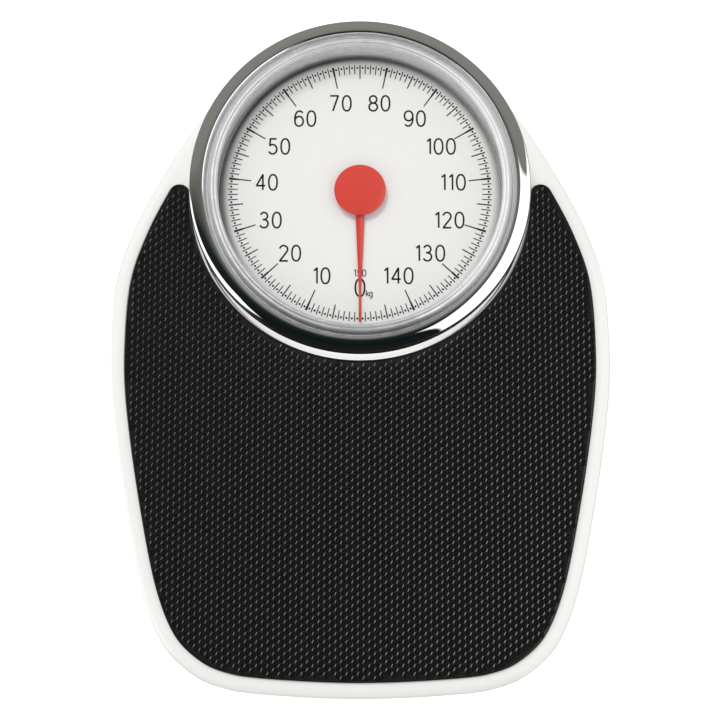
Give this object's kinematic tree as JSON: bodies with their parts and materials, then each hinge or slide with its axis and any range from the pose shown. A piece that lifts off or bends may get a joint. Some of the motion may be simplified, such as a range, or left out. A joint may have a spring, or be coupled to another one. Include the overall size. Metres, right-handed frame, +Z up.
{
  "type": "mechanical dial platform scale",
  "caption": "Lever weighing scale: a low standing platform with a textured tread mat and a large round raised dial, whose red pointer turns once as the platform is loaded.",
  "frame": {"origin": "on the floor under the middle of the scale's overall length and width", "axes": "+Y from the user's front edge towards the dial, +Z up, +X to the user's right when facing the dial"},
  "size_m": [0.316, 0.4292, 0.0794],
  "materials": {
    "enamel": "glossy white stove enamel",
    "housing": "satin white moulding",
    "rubber": "matte black, raised stud texture",
    "bezel_chrome": "mirror chrome plate",
    "lens": "clear polished",
    "dial": "matte white, printed black",
    "pointer": "satin red",
    "steel": "bright stamped steel",
    "zinc": "zinc plated",
    "brass": "turned and stamped",
    "nylon": "natural nylon",
    "knob": "black, knurled"
  },
  "bodies": {
    "base": {"base_tray": "enamel", "dial_housing": "housing", "chrome_bezel": "bezel_chrome", "dial_lens": "lens", "dial_plate": "dial", "movement_bridge": "zinc", "shaft_bearing": "brass", "rack_guide": "nylon", "spring_bracket": "zinc", "crank_bracket": "zinc", "crank_pivot": "steel", "hair_spring": "brass", "hair_spring_stud": "steel", "rubber_foot_1": "rubber", "rubber_foot_2": "rubber", "rubber_foot_3": "rubber", "rubber_foot_4": "rubber", "fulcrum_bracket_1": "zinc", "fulcrum_bracket_2": "zinc", "fulcrum_bracket_3": "zinc", "fulcrum_bracket_4": "zinc", "housing_pillar_1": "zinc", "housing_pillar_2": "zinc", "housing_pillar_3": "zinc", "housing_pillar_4": "zinc", "pillar_screw_1": "steel", "pillar_screw_2": "steel", "pillar_screw_3": "steel", "pillar_screw_4": "steel"},
    "platform": {"platform_cover": "enamel", "tread_mat": "rubber", "load_post_1": "zinc", "load_post_2": "zinc", "load_post_3": "zinc", "load_post_4": "zinc"},
    "long_lever": {"long_lever": "steel", "fulcrum_edge_1": "steel", "fulcrum_edge_2": "steel", "load_edge_1": "steel", "load_edge_2": "steel"},
    "short_lever": {"short_lever": "steel", "lever_link": "steel", "fulcrum_edge_3": "steel", "fulcrum_edge_4": "steel", "load_edge_3": "steel", "load_edge_4": "steel"},
    "crank": {"crank": "steel"},
    "rack": {"rack": "brass"},
    "pointer": {"pinion_shaft": "steel", "pinion": "brass", "spring_collet": "brass", "pointer_needle": "pointer", "pointer_hub": "pointer"},
    "zero_wheel": {"zero_wheel": "knob", "zero_screw": "steel"},
    "spring_carrier": {"spring_carrier": "steel", "main_spring": "steel"}
  },
  "joints": [
    {"name": "pointer_spin", "type": "hinge", "parent": "base", "child": "pointer", "pos_m": [0, 0.1011, 0.0562], "axis": [0, 0, -1], "range_deg": [0, 360], "deforming": ["hair_spring"]},
    {"name": "rack_slide", "type": "slide", "parent": "base", "child": "rack", "axis": [0, -1, 0], "range_m": [0, 0.0227]},
    {"name": "crank_turn", "type": "hinge", "parent": "base", "child": "crank", "pos_m": [0.0105, 0.0731, 0.01982], "axis": [1, 0, 0], "range_deg": [0, 52.2]},
    {"name": "long_lever_turn", "type": "hinge", "parent": "base", "child": "long_lever", "pos_m": [0, -0.165, 0.0187], "axis": [-1, 0, 0], "range_deg": [0, 3.4], "deforming": ["main_spring"]},
    {"name": "short_lever_turn", "type": "hinge", "parent": "base", "child": "short_lever", "pos_m": [0, 0.07, 0.0247], "axis": [1, 0, 0], "range_deg": [0, 3.4]},
    {"name": "platform_sink", "type": "slide", "parent": "base", "child": "platform", "axis": [0, 0, -1], "range_m": [0, 0.00165], "stiffness_N_per_m": 890000, "springref_m": -0.0001},
    {"name": "zero_turn", "type": "hinge", "parent": "base", "child": "zero_wheel", "pos_m": [0, 0.044, 0.006], "axis": [0, 0, 1], "range_deg": [-720, 720]},
    {"name": "carrier_slide", "type": "slide", "parent": "base", "child": "spring_carrier", "axis": [0, 0, 1], "range_m": [-0.00141, 0.00141]}
  ],
  "couplings": [
    {"joint": "pointer_spin", "follows": "platform_sink", "rad_per_m": 3801},
    {"joint": "rack_slide", "follows": "platform_sink", "ratio": 13.684},
    {"joint": "crank_turn", "follows": "platform_sink", "rad_per_m": 549.03},
    {"joint": "long_lever_turn", "follows": "platform_sink", "rad_per_m": 35.39},
    {"joint": "short_lever_turn", "follows": "platform_sink", "rad_per_m": 35.39},
    {"joint": "carrier_slide", "follows": "zero_turn", "m_per_rad": 0.00011141}
  ]
}
